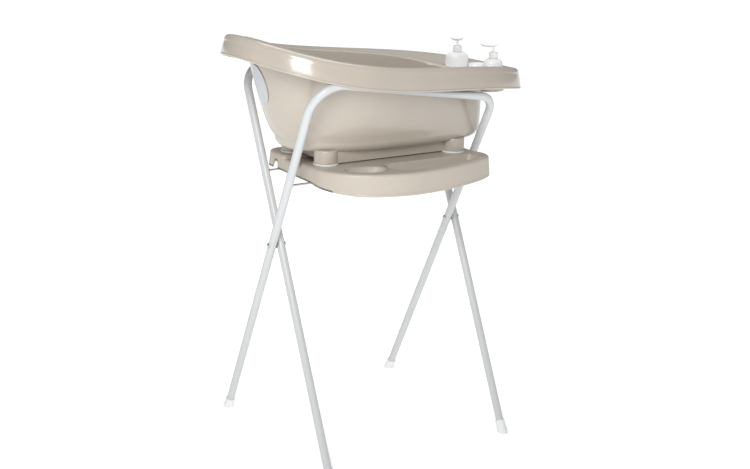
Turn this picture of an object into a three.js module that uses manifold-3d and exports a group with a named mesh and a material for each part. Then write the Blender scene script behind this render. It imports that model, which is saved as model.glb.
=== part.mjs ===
// Baby bathtub on a folding scissor stand, with a clip-on storage tray.
// Units are millimetres, +Z is up, +X runs from the raised head end to the foot end.
// The origin is on the floor, under the centre of the whole object.
import * as THREE from "three";
import { mergeVertices } from "three/addons/utils/BufferGeometryUtils.js";
import Module from "manifold-3d";

const wasm = await Module();
wasm.setup();

// ---------------------------------------------------------------- driving dimensions
const GAP = 0.3; // left between pieces that touch
const WALL = 3; // moulded wall thickness

const TUBE_R = 11; // stand tube, 22 mm across
const TUBE_WALL = 1.4;
const STAND_X = -27.8; // middle of the stand, seen from the middle of the tub
const LEG_SPAN = 572.5; // leg to leg in one frame
const STAGGER = 25; // how far frame B stands to the right of frame A
const PIVOT_Z = 574;
const LEAN = THREE.MathUtils.degToRad(25.4);
const TOP_HEAD = 505.5; // pivot to top corner along the head-end leg
const TOP_FOOT = 418; // the same along the foot-end leg, which is shorter
const BEND_HEAD = 74; // bend radius of the head-end top corner
const BEND_FOOT = 56;
const ROD_R = 2.8;
const ROD_S = 198.4; // pivot to cross rod along the leg
const RIVET_R = 4;
const CAP_R = 15.4;

const RIM_A = 432; // half length of the rim
const RIM_HALF_WIDTH = { mid: 224.5, tilt: 69, bow: 1.3 };
const RIM_HEIGHT = [1047.9, 27.3, 12.8, 32.0, 1.0]; // polynomial from foot (-1) to head (+1)
const RIM_POWER = { head: 2.11, foot: 2.85 };
const APRON_DROP = { foot: 58.5, head: 50 };
const APRON_FLARE = 10.7;
const TUB_BOTTOM = 830;
const DECK_T = 5; // shelf and rim moulding thickness
const TURN_HEIGHT = 28; // where the wall starts to turn into the bottom
const TURN_REACH = 26;
const SHELF_X = 268; // edge of the foot-end shelf towards the bath
const CASING_Z = 944; // underside of the pocket casing

const TRAY_TOP = 798;
const TRAY_BOTTOM = 742;
const TRAY_FLARE = 6;
const PILLAR_R = 30.6;
const PILLAR_TOP = 838;
const PILLARS = [
  { name: "head_near", x: -219, y: -86 },
  { name: "head_far", x: -219, y: 86 },
  { name: "foot_near", x: 170, y: -107 },
  { name: "foot_far", x: 170, y: 107 },
];
const PAD_T = 4.5;
const SKIRT = { x0: -215, x1: 166, half: 104 }; // band between the pillars

const RING = 48; // points around the tub

// ---------------------------------------------------------------- materials
const finish = {
  taupe: { color: 0xb9a896, roughness: 0.28, metalness: 0 },
  tray: { color: 0xbdae9d, roughness: 0.45, metalness: 0 },
  paint: { color: 0xf1f2f2, roughness: 0.35, metalness: 0 },
  white: { color: 0xf3f3f1, roughness: 0.5, metalness: 0 },
  zinc: { color: 0x9c9ea0, roughness: 0.35, metalness: 1 },
  label: { color: 0xdcdfe2, roughness: 0.5, metalness: 0 },
  soap: { color: 0xb9b6c6, roughness: 0.6, metalness: 0 },
};

// ---------------------------------------------------------------- geometry helpers
function toSolid(geometry) {
  const bare = geometry.index ? geometry.toNonIndexed() : geometry.clone();
  for (const name of Object.keys(bare.attributes)) {
    if (name !== "position") bare.deleteAttribute(name);
  }
  const merged = mergeVertices(bare, 1e-4);
  const mesh = new wasm.Mesh({
    numProp: 3,
    vertProperties: new Float32Array(merged.attributes.position.array),
    triVerts: new Uint32Array(merged.index.array),
  });
  return new wasm.Manifold(mesh);
}

function toGeometry(solid) {
  const mesh = solid.getMesh();
  const geometry = new THREE.BufferGeometry();
  geometry.setAttribute("position", new THREE.BufferAttribute(new Float32Array(mesh.vertProperties), 3));
  geometry.setIndex(new THREE.BufferAttribute(new Uint32Array(mesh.triVerts), 1));
  return geometry;
}

// A skin over rings of equal length, from the first ring to the last.
function stripIndex(rings) {
  const count = rings[0].length;
  const index = [];
  for (let r = 0; r + 1 < rings.length; r++) {
    for (let i = 0; i < count; i++) {
      const a = r * count + i;
      const b = r * count + ((i + 1) % count);
      index.push(a, b, b + count, a, b + count, a + count);
    }
  }
  return index;
}

// A closed skin over rings; the first and last rings are closed with flat caps.
function loftRings(rings) {
  const count = rings[0].length;
  const points = rings.flat();
  const index = stripIndex(rings);
  const flat = (ring) => ring.map((p) => new THREE.Vector2(p.x, p.y));
  const last = (rings.length - 1) * count;
  for (const [a, b, c] of THREE.ShapeUtils.triangulateShape(flat(rings[0]), [])) index.push(a, c, b);
  for (const [a, b, c] of THREE.ShapeUtils.triangulateShape(flat(rings.at(-1)), [])) {
    index.push(last + a, last + b, last + c);
  }
  const geometry = new THREE.BufferGeometry().setFromPoints(points);
  geometry.setIndex(index);
  return geometry;
}

// Moves each point of a closed outline along its outward normal; the outline runs anticlockwise.
function offsetRing(ring, distance, z) {
  return ring.map((p, i) => {
    const before = ring[(i + ring.length - 1) % ring.length];
    const after = ring[(i + 1) % ring.length];
    const along = new THREE.Vector2(after.x - before.x, after.y - before.y).normalize();
    const height = z === undefined ? p.z : typeof z === "function" ? z(p, i) : z;
    return new THREE.Vector3(p.x + along.y * distance, p.y - along.x * distance, height);
  });
}

// A closed skin over rings whose first and last rings are each a single repeated point.
function bandSkin(rings) {
  const count = rings[0].length;
  const index = [];
  for (let r = 0; r + 1 < rings.length; r++) {
    for (let i = 0; i < count; i++) {
      const a = r * count + i;
      const b = r * count + ((i + 1) % count);
      if (r > 0) index.push(a, b, b + count);
      if (r + 2 < rings.length) index.push(a, b + count, a + count);
    }
  }
  const geometry = new THREE.BufferGeometry().setFromPoints(rings.flat());
  geometry.setIndex(index);
  return geometry;
}

function boxSolid(x0, x1, y0, y1, z0, z1) {
  const box = new THREE.BoxGeometry(x1 - x0, y1 - y0, z1 - z0);
  box.translate((x0 + x1) / 2, (y0 + y1) / 2, (z0 + z1) / 2);
  return toSolid(box);
}

// A round bar between two heights, standing on +Z.
function postSolid(x, y, radius, z0, z1, sides = 32) {
  const post = new THREE.CylinderGeometry(radius, radius, z1 - z0, sides);
  post.rotateX(Math.PI / 2).translate(x, y, (z0 + z1) / 2);
  return toSolid(post);
}

// A round bar along X.
function barSolid(x0, x1, y, z, radius, sides = 24) {
  const bar = new THREE.CylinderGeometry(radius, radius, x1 - x0, sides);
  bar.rotateZ(Math.PI / 2).translate((x0 + x1) / 2, y, z);
  return toSolid(bar);
}

// A turned piece: its profile is [radius, height] pairs, standing on +Z.
function turned(profile, sides = 32) {
  const points = profile.map(([r, z]) => new THREE.Vector2(r, z));
  return new THREE.LatheGeometry(points, sides).rotateX(Math.PI / 2);
}

// An upright block with the outline of a shape, between two heights.
function blockSolid(shape, z0, z1, curveSegments = 10) {
  const block = new THREE.ExtrudeGeometry(shape, { depth: z1 - z0, bevelEnabled: false, curveSegments });
  return toSolid(block.translate(0, 0, z0));
}

function roundedRect(x0, x1, y0, y1, radius) {
  const shape = new THREE.Shape();
  shape.absarc(x1 - radius, y0 + radius, radius, -Math.PI / 2, 0);
  shape.absarc(x1 - radius, y1 - radius, radius, 0, Math.PI / 2);
  shape.absarc(x0 + radius, y1 - radius, radius, Math.PI / 2, Math.PI);
  shape.absarc(x0 + radius, y0 + radius, radius, Math.PI, Math.PI * 1.5);
  return shape;
}

// ---------------------------------------------------------------- stand
// Centre line of a frame in its own plane: X across, Z up the legs, pivot height at zero.
class FrameCurve extends THREE.Curve {
  constructor(footZ) {
    super();
    const left = -LEG_SPAN / 2;
    const right = LEG_SPAN / 2;
    const slope = Math.atan2(TOP_HEAD - TOP_FOOT, LEG_SPAN);
    this.stations = [[new THREE.Vector3(left, 0, footZ), new THREE.Vector3(0, 0, 1)]];
    this.addBend(new THREE.Vector3(left, 0, TOP_HEAD), Math.PI / 2, -slope, BEND_HEAD, 7);
    this.addBend(new THREE.Vector3(right, 0, TOP_FOOT), -slope, -Math.PI / 2, BEND_FOOT, 6);
    this.stations.push([new THREE.Vector3(right, 0, footZ), new THREE.Vector3(0, 0, -1)]);
  }

  // An arc that rounds a corner, from one heading to the next, turning clockwise.
  addBend(corner, headingIn, headingOut, radius, steps) {
    const turn = headingIn - headingOut;
    const reach = radius * Math.tan(turn / 2);
    const start = new THREE.Vector3(Math.cos(headingIn), 0, Math.sin(headingIn));
    const begin = corner.clone().addScaledVector(start, -reach);
    const centre = begin.clone().add(new THREE.Vector3(start.z, 0, -start.x).multiplyScalar(radius));
    for (let i = 0; i <= steps; i++) {
      const heading = headingIn - (turn * i) / steps;
      const tangent = new THREE.Vector3(Math.cos(heading), 0, Math.sin(heading));
      const outward = new THREE.Vector3(-tangent.z, 0, tangent.x).multiplyScalar(radius);
      this.stations.push([centre.clone().add(outward), tangent]);
    }
  }

  at(u) {
    return this.stations[Math.round(u * (this.stations.length - 1))];
  }

  getPointAt(u) {
    return this.at(u)[0].clone();
  }

  getTangentAt(u) {
    return this.at(u)[1].clone();
  }
}

function sweptTube(curve, radius, bore) {
  const section = new THREE.Shape().absarc(0, 0, radius, 0, Math.PI * 2);
  if (bore) section.holes.push(new THREE.Path().absarc(0, 0, bore, 0, Math.PI * 2, true));
  const steps = curve.stations.length - 1;
  return new THREE.ExtrudeGeometry(section, { steps, curveSegments: 7, extrudePath: curve });
}

const TUBE_FOOT_Z = -(PIVOT_Z - 10) / Math.cos(LEAN); // where the tube ends inside its foot cap

// One frame of the scissor; side is +1 for A, whose top is on the near side, and -1 for B.
function frameTube() {
  let tube = toSolid(sweptTube(new FrameCurve(TUBE_FOOT_Z), TUBE_R, TUBE_R - TUBE_WALL));
  for (const x of [-LEG_SPAN / 2, LEG_SPAN / 2]) {
    tube = tube.subtract(barSolid(x - 20, x + 20, 0, 0, RIVET_R + 0.1));
    const inward = -Math.sign(x) * 20;
    tube = tube.subtract(barSolid(Math.min(x, x + inward), Math.max(x, x + inward), 0, ROD_S, ROD_R + 0.3));
  }
  return toGeometry(tube);
}

function crossRod() {
  const reach = LEG_SPAN / 2 - TUBE_R + TUBE_WALL + 2.5;
  return toGeometry(barSolid(-reach, reach, 0, ROD_S, ROD_R, 16));
}

// A push-on foot: a flared cup on the tube end, cut level with the floor.
function footCap(x, lean) {
  const low = -(PIVOT_Z + 12) / Math.cos(LEAN);
  const seat = TUBE_FOOT_Z - GAP;
  const top = TUBE_FOOT_Z + 26;
  const inner = TUBE_R + GAP;
  const cup = turned([[0, low], [CAP_R, low], [CAP_R, low + 24], [13.6, top - 2], [12.9, top],
    [inner, top], [inner, seat], [0, seat]], 24);
  const solid = toSolid(cup.translate(x, 0, 0));
  const floor = new THREE.BoxGeometry(80, 120, 60);
  floor.translate(0, 0, -30);
  floor.applyMatrix4(new THREE.Matrix4().makeTranslation(0, -Math.sin(lean) * low, -PIVOT_Z));
  floor.applyMatrix4(new THREE.Matrix4().makeRotationX(-lean));
  floor.translate(x, 0, 0);
  return toGeometry(solid.subtract(toSolid(floor)));
}

// Domed rivet through both legs at one side; the outer leg is at -X of the inner one.
function pivotRivet(outerX) {
  const head = outerX - TUBE_R - GAP;
  const tail = outerX + STAGGER + TUBE_R + GAP;
  const rivet = turned([[0, head - 3.4], [3.4, head - 2.8], [6, head - 1.2], [7, head], [RIVET_R, head],
    [RIVET_R, tail], [6.2, tail], [5.4, tail + 1.3], [3, tail + 2.4], [0, tail + 2.8]], 20);
  return rivet.rotateY(Math.PI / 2);
}

function pivotSpacer(outerX) {
  const middle = outerX + STAGGER / 2;
  const half = STAGGER / 2 - TUBE_R - GAP;
  const ring = turned([[RIVET_R + 0.1, -half], [9, -half], [9, half], [RIVET_R + 0.1, half],
    [RIVET_R + 0.1, -half]], 20);
  return ring.rotateY(Math.PI / 2).translate(middle, 0, 0);
}

// ---------------------------------------------------------------- tub
const signedPower = (value, power) => Math.sign(value) * Math.abs(value) ** power;

// Height of the rim along the tub; u is -1 at the foot end and +1 at the head end.
const rimHeight = (u) => RIM_HEIGHT.reduceRight((sum, c) => sum * u + c, 0);

// A point of an egg-like outline, each half a superellipse with its own half length and power.
function eggPoint({ head, foot, mid, tilt, bow = 0, powerHead, powerFoot, z }, angle) {
  const power = Math.cos(angle) < 0 ? powerHead : powerFoot;
  const along = signedPower(Math.cos(angle), 2 / power);
  const u = -along;
  const halfWidth = mid + tilt * u + bow * u * u;
  const y = halfWidth * signedPower(Math.sin(angle), 2 / power);
  return new THREE.Vector3(along * (along < 0 ? head : foot), y, typeof z === "function" ? z(u) : z);
}

const ringAngles = Array.from({ length: RING }, (_, i) => (Math.PI * 2 * i) / RING);
const eggRing = (spec) => ringAngles.map((angle) => eggPoint(spec, angle));

// How far the apron hangs below the rim: less at the head end.
const apronDrop = (p) => {
  const towardsHead = Math.max(0, -p.x / RIM_A) ** 2;
  return THREE.MathUtils.lerp(APRON_DROP.foot, APRON_DROP.head, towardsHead);
};

const rimRing = eggRing({
  head: RIM_A,
  foot: RIM_A,
  mid: RIM_HALF_WIDTH.mid,
  tilt: RIM_HALF_WIDTH.tilt,
  bow: RIM_HALF_WIDTH.bow,
  powerHead: RIM_POWER.head,
  powerFoot: RIM_POWER.foot,
  z: rimHeight,
});

// Outer body outline where the wall meets the rim, and where the bottom turns flat.
const bodyTop = { head: 386, foot: 308, mid: 176, tilt: 46, powerHead: 2.15, powerFoot: 2.9 };
const bodyLow = { head: 305, foot: 292, mid: 144, tilt: 4, powerHead: 2.3, powerFoot: 3.4 };

// Outline of the outer wall at a fraction of the height from bottom to rim.
function wallSpec(fraction) {
  const spec = {};
  for (const key of Object.keys(bodyLow)) {
    spec[key] = THREE.MathUtils.lerp(bodyLow[key], bodyTop[key], fraction ** 0.7);
  }
  spec.z = (u) => THREE.MathUtils.lerp(TUB_BOTTOM + TURN_HEIGHT, rimHeight(u) - DECK_T * 2, fraction);
  return spec;
}

function wallRing(fraction, inset = 0) {
  const base = eggRing(wallSpec(fraction));
  return inset ? offsetRing(base, -inset) : base;
}

// Rings that turn from the wall into the flat bottom, on a quarter ellipse.
function bottomRings(inset, steps) {
  const low = wallRing(0, inset);
  const rings = [];
  for (let i = 0; i < steps; i++) {
    const angle = (Math.PI / 2) * (i / steps);
    const pull = TURN_REACH * (1 - Math.sin(angle));
    rings.push(offsetRing(low, -pull, TUB_BOTTOM + inset + (TURN_HEIGHT - inset) * (1 - Math.cos(angle))));
  }
  return rings;
}

const WALL_STEPS = [0, 0.2, 0.45, 0.72, 1];

function tubSkin() {
  const outer = [...bottomRings(0, 3), ...WALL_STEPS.map((f) => wallRing(f))];
  const under = [
    offsetRing(rimRing, -10, (p) => p.z - 5),
    offsetRing(rimRing, -4, (p) => p.z - 15),
    offsetRing(rimRing, APRON_FLARE - WALL - 1, (p) => p.z - apronDrop(p)),
  ];
  const apron = [
    offsetRing(rimRing, APRON_FLARE, (p) => p.z - apronDrop(p)),
    offsetRing(rimRing, APRON_FLARE, (p) => p.z - apronDrop(p) + 4),
    offsetRing(rimRing, APRON_FLARE - 2, (p) => p.z - apronDrop(p) + 6),
    offsetRing(rimRing, 1.5, (p) => p.z - 16),
    offsetRing(rimRing, -1, (p) => p.z - 7),
    offsetRing(rimRing, -6, (p) => p.z - 1.6),
    offsetRing(rimRing, -12, (p) => p.z),
    offsetRing(rimRing, -20, (p) => p.z - 1),
  ];
  return loftRings([...outer, ...under, ...apron, ...innerRings().reverse()]);
}

// From the bath floor up to the lip of the opening.
function innerRings() {
  const pulled = (ring, fraction) => ring.map((p) => {
    return new THREE.Vector3(p.x > 0 ? p.x * footPull(fraction) : p.x, p.y, p.z);
  });
  const walls = WALL_STEPS.map((f) => pulled(wallRing(f, WALL), f));
  const floor = bottomRings(WALL, 3).map((ring) => pulled(ring, 0));
  const lip = offsetRing(walls.at(-1), 5, (p) => p.z + DECK_T);
  return [...floor, ...walls, lip];
}

// The bath side of the foot-end wall stands in from the outer side, under the shelf.
const footPull = (fraction) => THREE.MathUtils.lerp(0.89, 0.862, fraction);

// Ends in the middle of the wall, so anything cut with it joins the wall without reaching the bath.
function wallCore() {
  return toSolid(loftRings([...bottomRings(WALL / 2, 3), ...WALL_STEPS.map((f) => wallRing(f, WALL / 2))]));
}

// Things that stand in the shelf: plan sizes, and how far each pocket holds them.
const BOTTLES = [
  { name: "far", x: 296, y: 56, floor: 948, wide: 66, deep: 36, body: 92, head: 38, nose: 0.05 },
  { name: "near", x: 343, y: -48, floor: 956, wide: 55, deep: 36, body: 76, head: 54, nose: 0.22 },
];
const BOTTLE_TURN = THREE.MathUtils.degToRad(-33); // wide face towards the near head corner
const DISH = { x: 336, y: 12, wide: 50, deep: 28, floor: 978, height: 34 };
const POCKET_PLAY = 1.5;

function oval(x, y, wide, deep, grow = 0) {
  const shape = new THREE.Shape();
  shape.absellipse(x, y, wide / 2 + grow, deep / 2 + grow, 0, Math.PI * 2, false, BOTTLE_TURN);
  return shape;
}

function tubShell() {
  const core = wallCore();
  const casing = blockSolid(roundedRect(SHELF_X - 20, 378, -86, 86, 45), CASING_Z, 985);
  let tub = toSolid(tubSkin()).add(casing.subtract(core));
  for (const b of BOTTLES) {
    tub = tub.subtract(blockSolid(oval(b.x, b.y, b.wide, b.deep, POCKET_PLAY), b.floor, 1060));
  }
  tub = tub.subtract(blockSolid(oval(DISH.x, DISH.y, DISH.wide, DISH.deep, POCKET_PLAY), DISH.floor, 1060));
  const low = TRAY_TOP + PAD_T + 2 * GAP;
  for (const p of PILLARS) {
    const bore = postSolid(p.x, p.y, PILLAR_R - WALL, low - 1, PILLAR_TOP - WALL, 24);
    const sleeve = postSolid(p.x, p.y, PILLAR_R, low, PILLAR_TOP, 24).subtract(bore);
    tub = tub.add(sleeve.subtract(core));
  }
  const { x0, x1, half } = SKIRT;
  const skirt = blockSolid(roundedRect(x0, x1, -half, half, 24), TRAY_TOP + 3, 846, 5);
  const room = roundedRect(x0 + WALL, x1 - WALL, WALL - half, half - WALL, 24 - WALL);
  let base = skirt.subtract(blockSolid(room, 700, 851)).subtract(core);
  for (const p of PILLARS) {
    base = base.subtract(postSolid(p.x, p.y, PILLAR_R - WALL, 700, 891, 24));
    base = base.subtract(postSolid(p.x, p.y, PILLAR_R + 3, 700, low, 24));
  }
  return toGeometry(tub.add(base));
}

function pillarPad(p) {
  const low = TRAY_TOP + GAP;
  const top = low + PAD_T;
  const bore = PILLAR_R - WALL - GAP;
  const r = PILLAR_R + 1.8;
  return turned([[0, low], [r, low], [r, top], [bore, top], [bore, top + 8], [bore - 2, top + 8],
    [bore - 2, top - 2], [0, top - 2]], 24).translate(p.x, p.y, 0);
}

// Oval label on the outside of the head-end wall: a thin curved disc that follows the wall.
const LABEL = { angle: Math.PI - 0.02, fraction: 0.56, spreadAngle: 0.13, spreadUp: 0.19, lean: -0.02,
  lift: 1.6, thick: 0.5 };

function headLabel() {
  const spokes = 24;
  const bands = [0.35, 0.7, 1];
  const wallPoint = (angle, fraction) => eggPoint(wallSpec(fraction), angle);
  const lifted = (angle, fraction, lift) => {
    const here = wallPoint(angle, fraction);
    const around = wallPoint(angle + 0.01, fraction).sub(here);
    const up = wallPoint(angle, fraction + 0.01).sub(here);
    return here.addScaledVector(around.cross(up).normalize(), lift);
  };
  const layer = (lift) => bands.map((band) => Array.from({ length: spokes }, (_, i) => {
    const turn = (Math.PI * 2 * i) / spokes;
    const rise = band * Math.sin(turn);
    const angle = LABEL.angle + LABEL.spreadAngle * band * Math.cos(turn) + LABEL.lean * rise;
    return lifted(angle, LABEL.fraction + LABEL.spreadUp * rise, lift);
  }));
  const centre = (lift) => Array(spokes).fill(lifted(LABEL.angle, LABEL.fraction, lift));
  const outer = LABEL.lift + LABEL.thick;
  const rings = [centre(LABEL.lift), ...layer(LABEL.lift), ...layer(outer).reverse(), centre(outer)];
  return toGeometry(toSolid(bandSkin(rings)));
}

// ---------------------------------------------------------------- tray
const TRAY = { left: -268, right: 228, far: 150, near: -270 };

// Straight at the back and ends, bowed out at the front.
function trayOutline() {
  const { left, right, far, near } = TRAY;
  const shape = new THREE.Shape();
  shape.moveTo(left, 112);
  shape.lineTo(left, -120);
  shape.bezierCurveTo(left, -190, -180, near + 8, -64, near);
  shape.bezierCurveTo(30, near - 4, 130, -244, 200, -214);
  shape.bezierCurveTo(228, -202, right + 14, -178, right + 8, -150);
  shape.bezierCurveTo(right + 4, -135, right, -130, right, -118);
  shape.lineTo(right, 112);
  shape.absarc(right - 38, far - 38, 38, 0, Math.PI / 2);
  shape.absarc(left + 38, far - 38, 38, Math.PI / 2, Math.PI);
  const points = shape.getSpacedPoints(64).slice(0, -1);
  return points.map((p) => new THREE.Vector3(p.x, p.y, TRAY_TOP));
}

function trayBody() {
  const rim = trayOutline();
  const rings = [
    offsetRing(rim, -WALL - 5, TRAY_TOP - WALL),
    offsetRing(rim, -WALL, TRAY_TOP - WALL - 6),
    offsetRing(rim, TRAY_FLARE - WALL - 1, TRAY_BOTTOM),
    offsetRing(rim, TRAY_FLARE, TRAY_BOTTOM),
    offsetRing(rim, TRAY_FLARE, TRAY_BOTTOM + 4),
    offsetRing(rim, TRAY_FLARE - 1.6, TRAY_BOTTOM + 6),
    offsetRing(rim, 0, TRAY_TOP - 8),
    offsetRing(rim, -2, TRAY_TOP - 2.4),
    offsetRing(rim, -7, TRAY_TOP),
  ];
  return toSolid(loftRings(rings));
}

const ROD_Z = PIVOT_Z + ROD_S * Math.cos(LEAN);
const ROD_Y = ROD_S * Math.sin(LEAN);

const CLIPS = [-190, 150];

function trayShell() {
  const dish = new THREE.Shape().absellipse(-160, -184, 54, 32, 0, Math.PI * 2, false, -0.22);
  const dishOut = new THREE.Shape().absellipse(-160, -184, 57, 35, 0, Math.PI * 2, false, -0.22);
  const long = (grow) => {
    const shape = new THREE.Shape();
    shape.absarc(170, -180, 26 + grow, -Math.PI * 0.4, Math.PI / 2);
    shape.lineTo(-70, -154 + grow);
    shape.absarc(-70, -184, 30 + grow, Math.PI / 2, Math.PI);
    shape.bezierCurveTo(-100 - grow, -248, -40, -246 - grow, 20, -240 - grow);
    return shape;
  };
  let tray = trayBody();
  for (const [outer, inner, depth] of [[dishOut, dish, 16], [long(3), long(0), 26]]) {
    tray = tray.add(blockSolid(outer, TRAY_TOP - depth - WALL, TRAY_TOP - 1));
    tray = tray.subtract(blockSolid(inner, TRAY_TOP - depth, TRAY_TOP + 5));
  }
  const well = { x: -170, y: 48, depth: 10 };
  const side = well.y + WALL;
  const sump = TRAY_TOP - well.depth;
  tray = tray.add(boxSolid(TRAY.left + 2, well.x + WALL, -side, side, sump - WALL, TRAY_TOP - 5));
  tray = tray.subtract(boxSolid(TRAY.left - 20, well.x, -well.y, well.y, sump, TRAY_TOP + 5));
  return toGeometry(finishTray(tray));
}

// Underside: raised edge behind the front, hook notches over rod B, clips round rod A.
function finishTray(body) {
  const rest = ROD_Z + ROD_R + 1.4;
  const low = TRAY_BOTTOM - 0.5;
  const under = new THREE.Shape();
  under.moveTo(200, 600).lineTo(200, rest).lineTo(-98, rest).lineTo(-225, low).lineTo(-225, 600);
  const profile = new THREE.ExtrudeGeometry(under, { depth: 640, bevelEnabled: false });
  profile.rotateX(Math.PI / 2).rotateZ(Math.PI / 2).translate(-320, 0, 0);
  let tray = body.subtract(toSolid(profile));
  const notch = new THREE.Shape();
  notch.moveTo(ROD_Y - 10, 700).lineTo(ROD_Y + 10, 700).lineTo(ROD_Y + 10, 768);
  notch.absarc(ROD_Y, 768, 10, 0, Math.PI);
  const cut = new THREE.ExtrudeGeometry(notch, { depth: 640, bevelEnabled: false, curveSegments: 8 });
  cut.rotateX(Math.PI / 2).rotateZ(Math.PI / 2).translate(-320, 0, 0);
  tray = tray.subtract(toSolid(cut));
  const deck = TRAY_TOP - WALL + 1;
  const neck = deck - 26;
  for (const x of CLIPS) {
    const rib = boxSolid(x - 5, x + 5, -ROD_Y - 9, -ROD_Y + 9, ROD_Z - 8, neck);
    const stem = boxSolid(x - 5, x + 5, -ROD_Y - 6, -ROD_Y + 6, neck - 1, deck);
    const bore = barSolid(x - 20, x + 20, -ROD_Y, ROD_Z, ROD_R + 0.3, 20);
    const mouth = boxSolid(x - 20, x + 20, -ROD_Y - 2.4, -ROD_Y + 2.4, ROD_Z - 12, ROD_Z);
    tray = tray.add(rib).add(stem).subtract(bore).subtract(mouth);
    const hook = boxSolid(x - 5, x + 5, ROD_Y - 12, ROD_Y + 12, ROD_Z + ROD_R + GAP, deck);
    tray = tray.add(hook);
  }
  return tray;
}

// ---------------------------------------------------------------- bottles and dish
// A flattened, round-shouldered bottle standing in its pocket.
function bottleBody(b) {
  const low = b.floor + GAP;
  const top = low + b.body;
  const ring = (wide, deep, z) => {
    const points = oval(b.x, b.y, wide, deep).getSpacedPoints(20).slice(0, -1);
    return points.map((p) => new THREE.Vector3(p.x, p.y, z));
  };
  const section = (scale, z) => ring(b.wide * scale, b.deep * scale, z);
  const neck = (radius, z) => ring(radius * 2, radius * 2, z);
  return loftRings([
    section(0.93, low),
    section(1, low + 4),
    section(1, top - 20),
    section(0.96, top - 11),
    section(0.84, top - 4.5),
    section(0.66, top - 0.8),
    neck(12.2, top),
    neck(9.5, top + 0.2),
    neck(9.5, top + 4.5),
  ]);
}

function pumpCollar(b) {
  const low = b.floor + GAP + b.body + 0.8;
  return turned([[9.8, low], [12.6, low], [12.6, low + 10], [11.6, low + 12], [8, low + 14.5],
    [6.6, low + 18], [3.6, low + 18], [3.6, low + 11], [9.8, low + 10], [9.8, low]], 20)
    .translate(b.x, b.y, 0);
}

function pumpHead(b) {
  const stem = b.floor + GAP + b.body + 13;
  const top = stem + 23;
  const post = turned([[0, stem], [3.3, stem], [3.3, top - 4], [5.4, top - 3], [5.4, top + 1],
    [0, top + 1]], 16);
  const plate = new THREE.Shape();
  plate.absellipse(-b.head * b.nose, 0, b.head / 2, 10, 0, Math.PI * 2);
  const disc = new THREE.ExtrudeGeometry(plate, {
    depth: 3, bevelSize: 1.5, bevelThickness: 1.5, bevelSegments: 1, bevelOffset: -1.5, curveSegments: 10,
  });
  disc.translate(0, 0, top + 1.5);
  const solid = toSolid(post).add(toSolid(disc));
  return toGeometry(solid).rotateZ(BOTTLE_TURN).translate(b.x, b.y, 0);
}

function soapDish() {
  const low = DISH.floor + GAP;
  const block = blockSolid(oval(DISH.x, DISH.y, DISH.wide, DISH.deep), low, low + DISH.height, 14);
  const inner = oval(DISH.x, DISH.y, DISH.wide, DISH.deep, -2.5);
  const hollow = blockSolid(inner, low + 14, low + 40, 14);
  return toGeometry(block.subtract(hollow));
}

function soapBar() {
  const low = DISH.floor + 14 + 2 * GAP;
  return toGeometry(blockSolid(oval(DISH.x, DISH.y, DISH.wide, DISH.deep, -3.2), low, low + 11, 14));
}

// ---------------------------------------------------------------- assembly
const group = new THREE.Group();

function addMesh(parent, name, geometry, look) {
  const mesh = new THREE.Mesh(geometry, new THREE.MeshStandardMaterial(finish[look]));
  mesh.name = name;
  parent.add(mesh);
}

const stand = new THREE.Group();
stand.position.set(STAND_X, 0, PIVOT_Z);
group.add(stand);
for (const [letter, side] of [["a", 1], ["b", -1]]) {
  const frame = new THREE.Group();
  frame.position.x = (-side * STAGGER) / 2;
  frame.rotation.x = side * LEAN;
  stand.add(frame);
  addMesh(frame, `frame_${letter}_tube`, frameTube(), "paint");
  addMesh(frame, `rod_${letter}`, crossRod(), "zinc");
  addMesh(frame, `foot_cap_${letter}_head`, footCap(-LEG_SPAN / 2, side * LEAN), "white");
  addMesh(frame, `foot_cap_${letter}_foot`, footCap(LEG_SPAN / 2, side * LEAN), "white");
}
for (const [end, x] of [["head", -LEG_SPAN / 2], ["foot", LEG_SPAN / 2]]) {
  addMesh(stand, `pivot_rivet_${end}`, pivotRivet(x - STAGGER / 2), "zinc");
  addMesh(stand, `pivot_spacer_${end}`, pivotSpacer(x - STAGGER / 2), "zinc");
}
addMesh(group, "tray", trayShell(), "tray");
addMesh(group, "tub_shell", tubShell(), "taupe");
for (const p of PILLARS) addMesh(group, `pillar_pad_${p.name}`, pillarPad(p), "white");
addMesh(group, "head_label", headLabel(), "label");
for (const b of BOTTLES) {
  addMesh(group, `bottle_${b.name}`, bottleBody(b), "white");
  addMesh(group, `pump_collar_${b.name}`, pumpCollar(b), "white");
  addMesh(group, `pump_head_${b.name}`, pumpHead(b), "white");
}
addMesh(group, "soap_dish", soapDish(), "white");
addMesh(group, "soap_bar", soapBar(), "soap");

export default group;
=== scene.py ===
"""Looks of a baby bathtub on a folding stand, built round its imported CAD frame.

Lengths below are millimetres in the frame's axes: +Z up, +X from the raised head end to the foot end.
"""
import math

import bmesh
import bpy
import numpy as np
from mathutils import Matrix, Vector


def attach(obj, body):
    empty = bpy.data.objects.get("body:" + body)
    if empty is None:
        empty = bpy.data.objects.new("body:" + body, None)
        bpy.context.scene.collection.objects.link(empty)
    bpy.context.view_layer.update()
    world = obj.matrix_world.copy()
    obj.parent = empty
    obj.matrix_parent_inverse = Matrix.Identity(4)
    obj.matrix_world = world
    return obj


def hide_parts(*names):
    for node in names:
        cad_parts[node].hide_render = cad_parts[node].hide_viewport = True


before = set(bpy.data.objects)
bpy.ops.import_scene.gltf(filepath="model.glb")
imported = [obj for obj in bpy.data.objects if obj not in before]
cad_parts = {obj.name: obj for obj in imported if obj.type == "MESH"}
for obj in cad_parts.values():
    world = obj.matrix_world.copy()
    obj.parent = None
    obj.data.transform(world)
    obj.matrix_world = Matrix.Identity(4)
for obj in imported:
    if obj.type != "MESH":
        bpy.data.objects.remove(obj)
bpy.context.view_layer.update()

MM = 0.001
TURN = 2 * math.pi
ALONG_X = Matrix.Rotation(math.pi / 2, 4, "Y")  # lays a part that stands on +Z along +X
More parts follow.
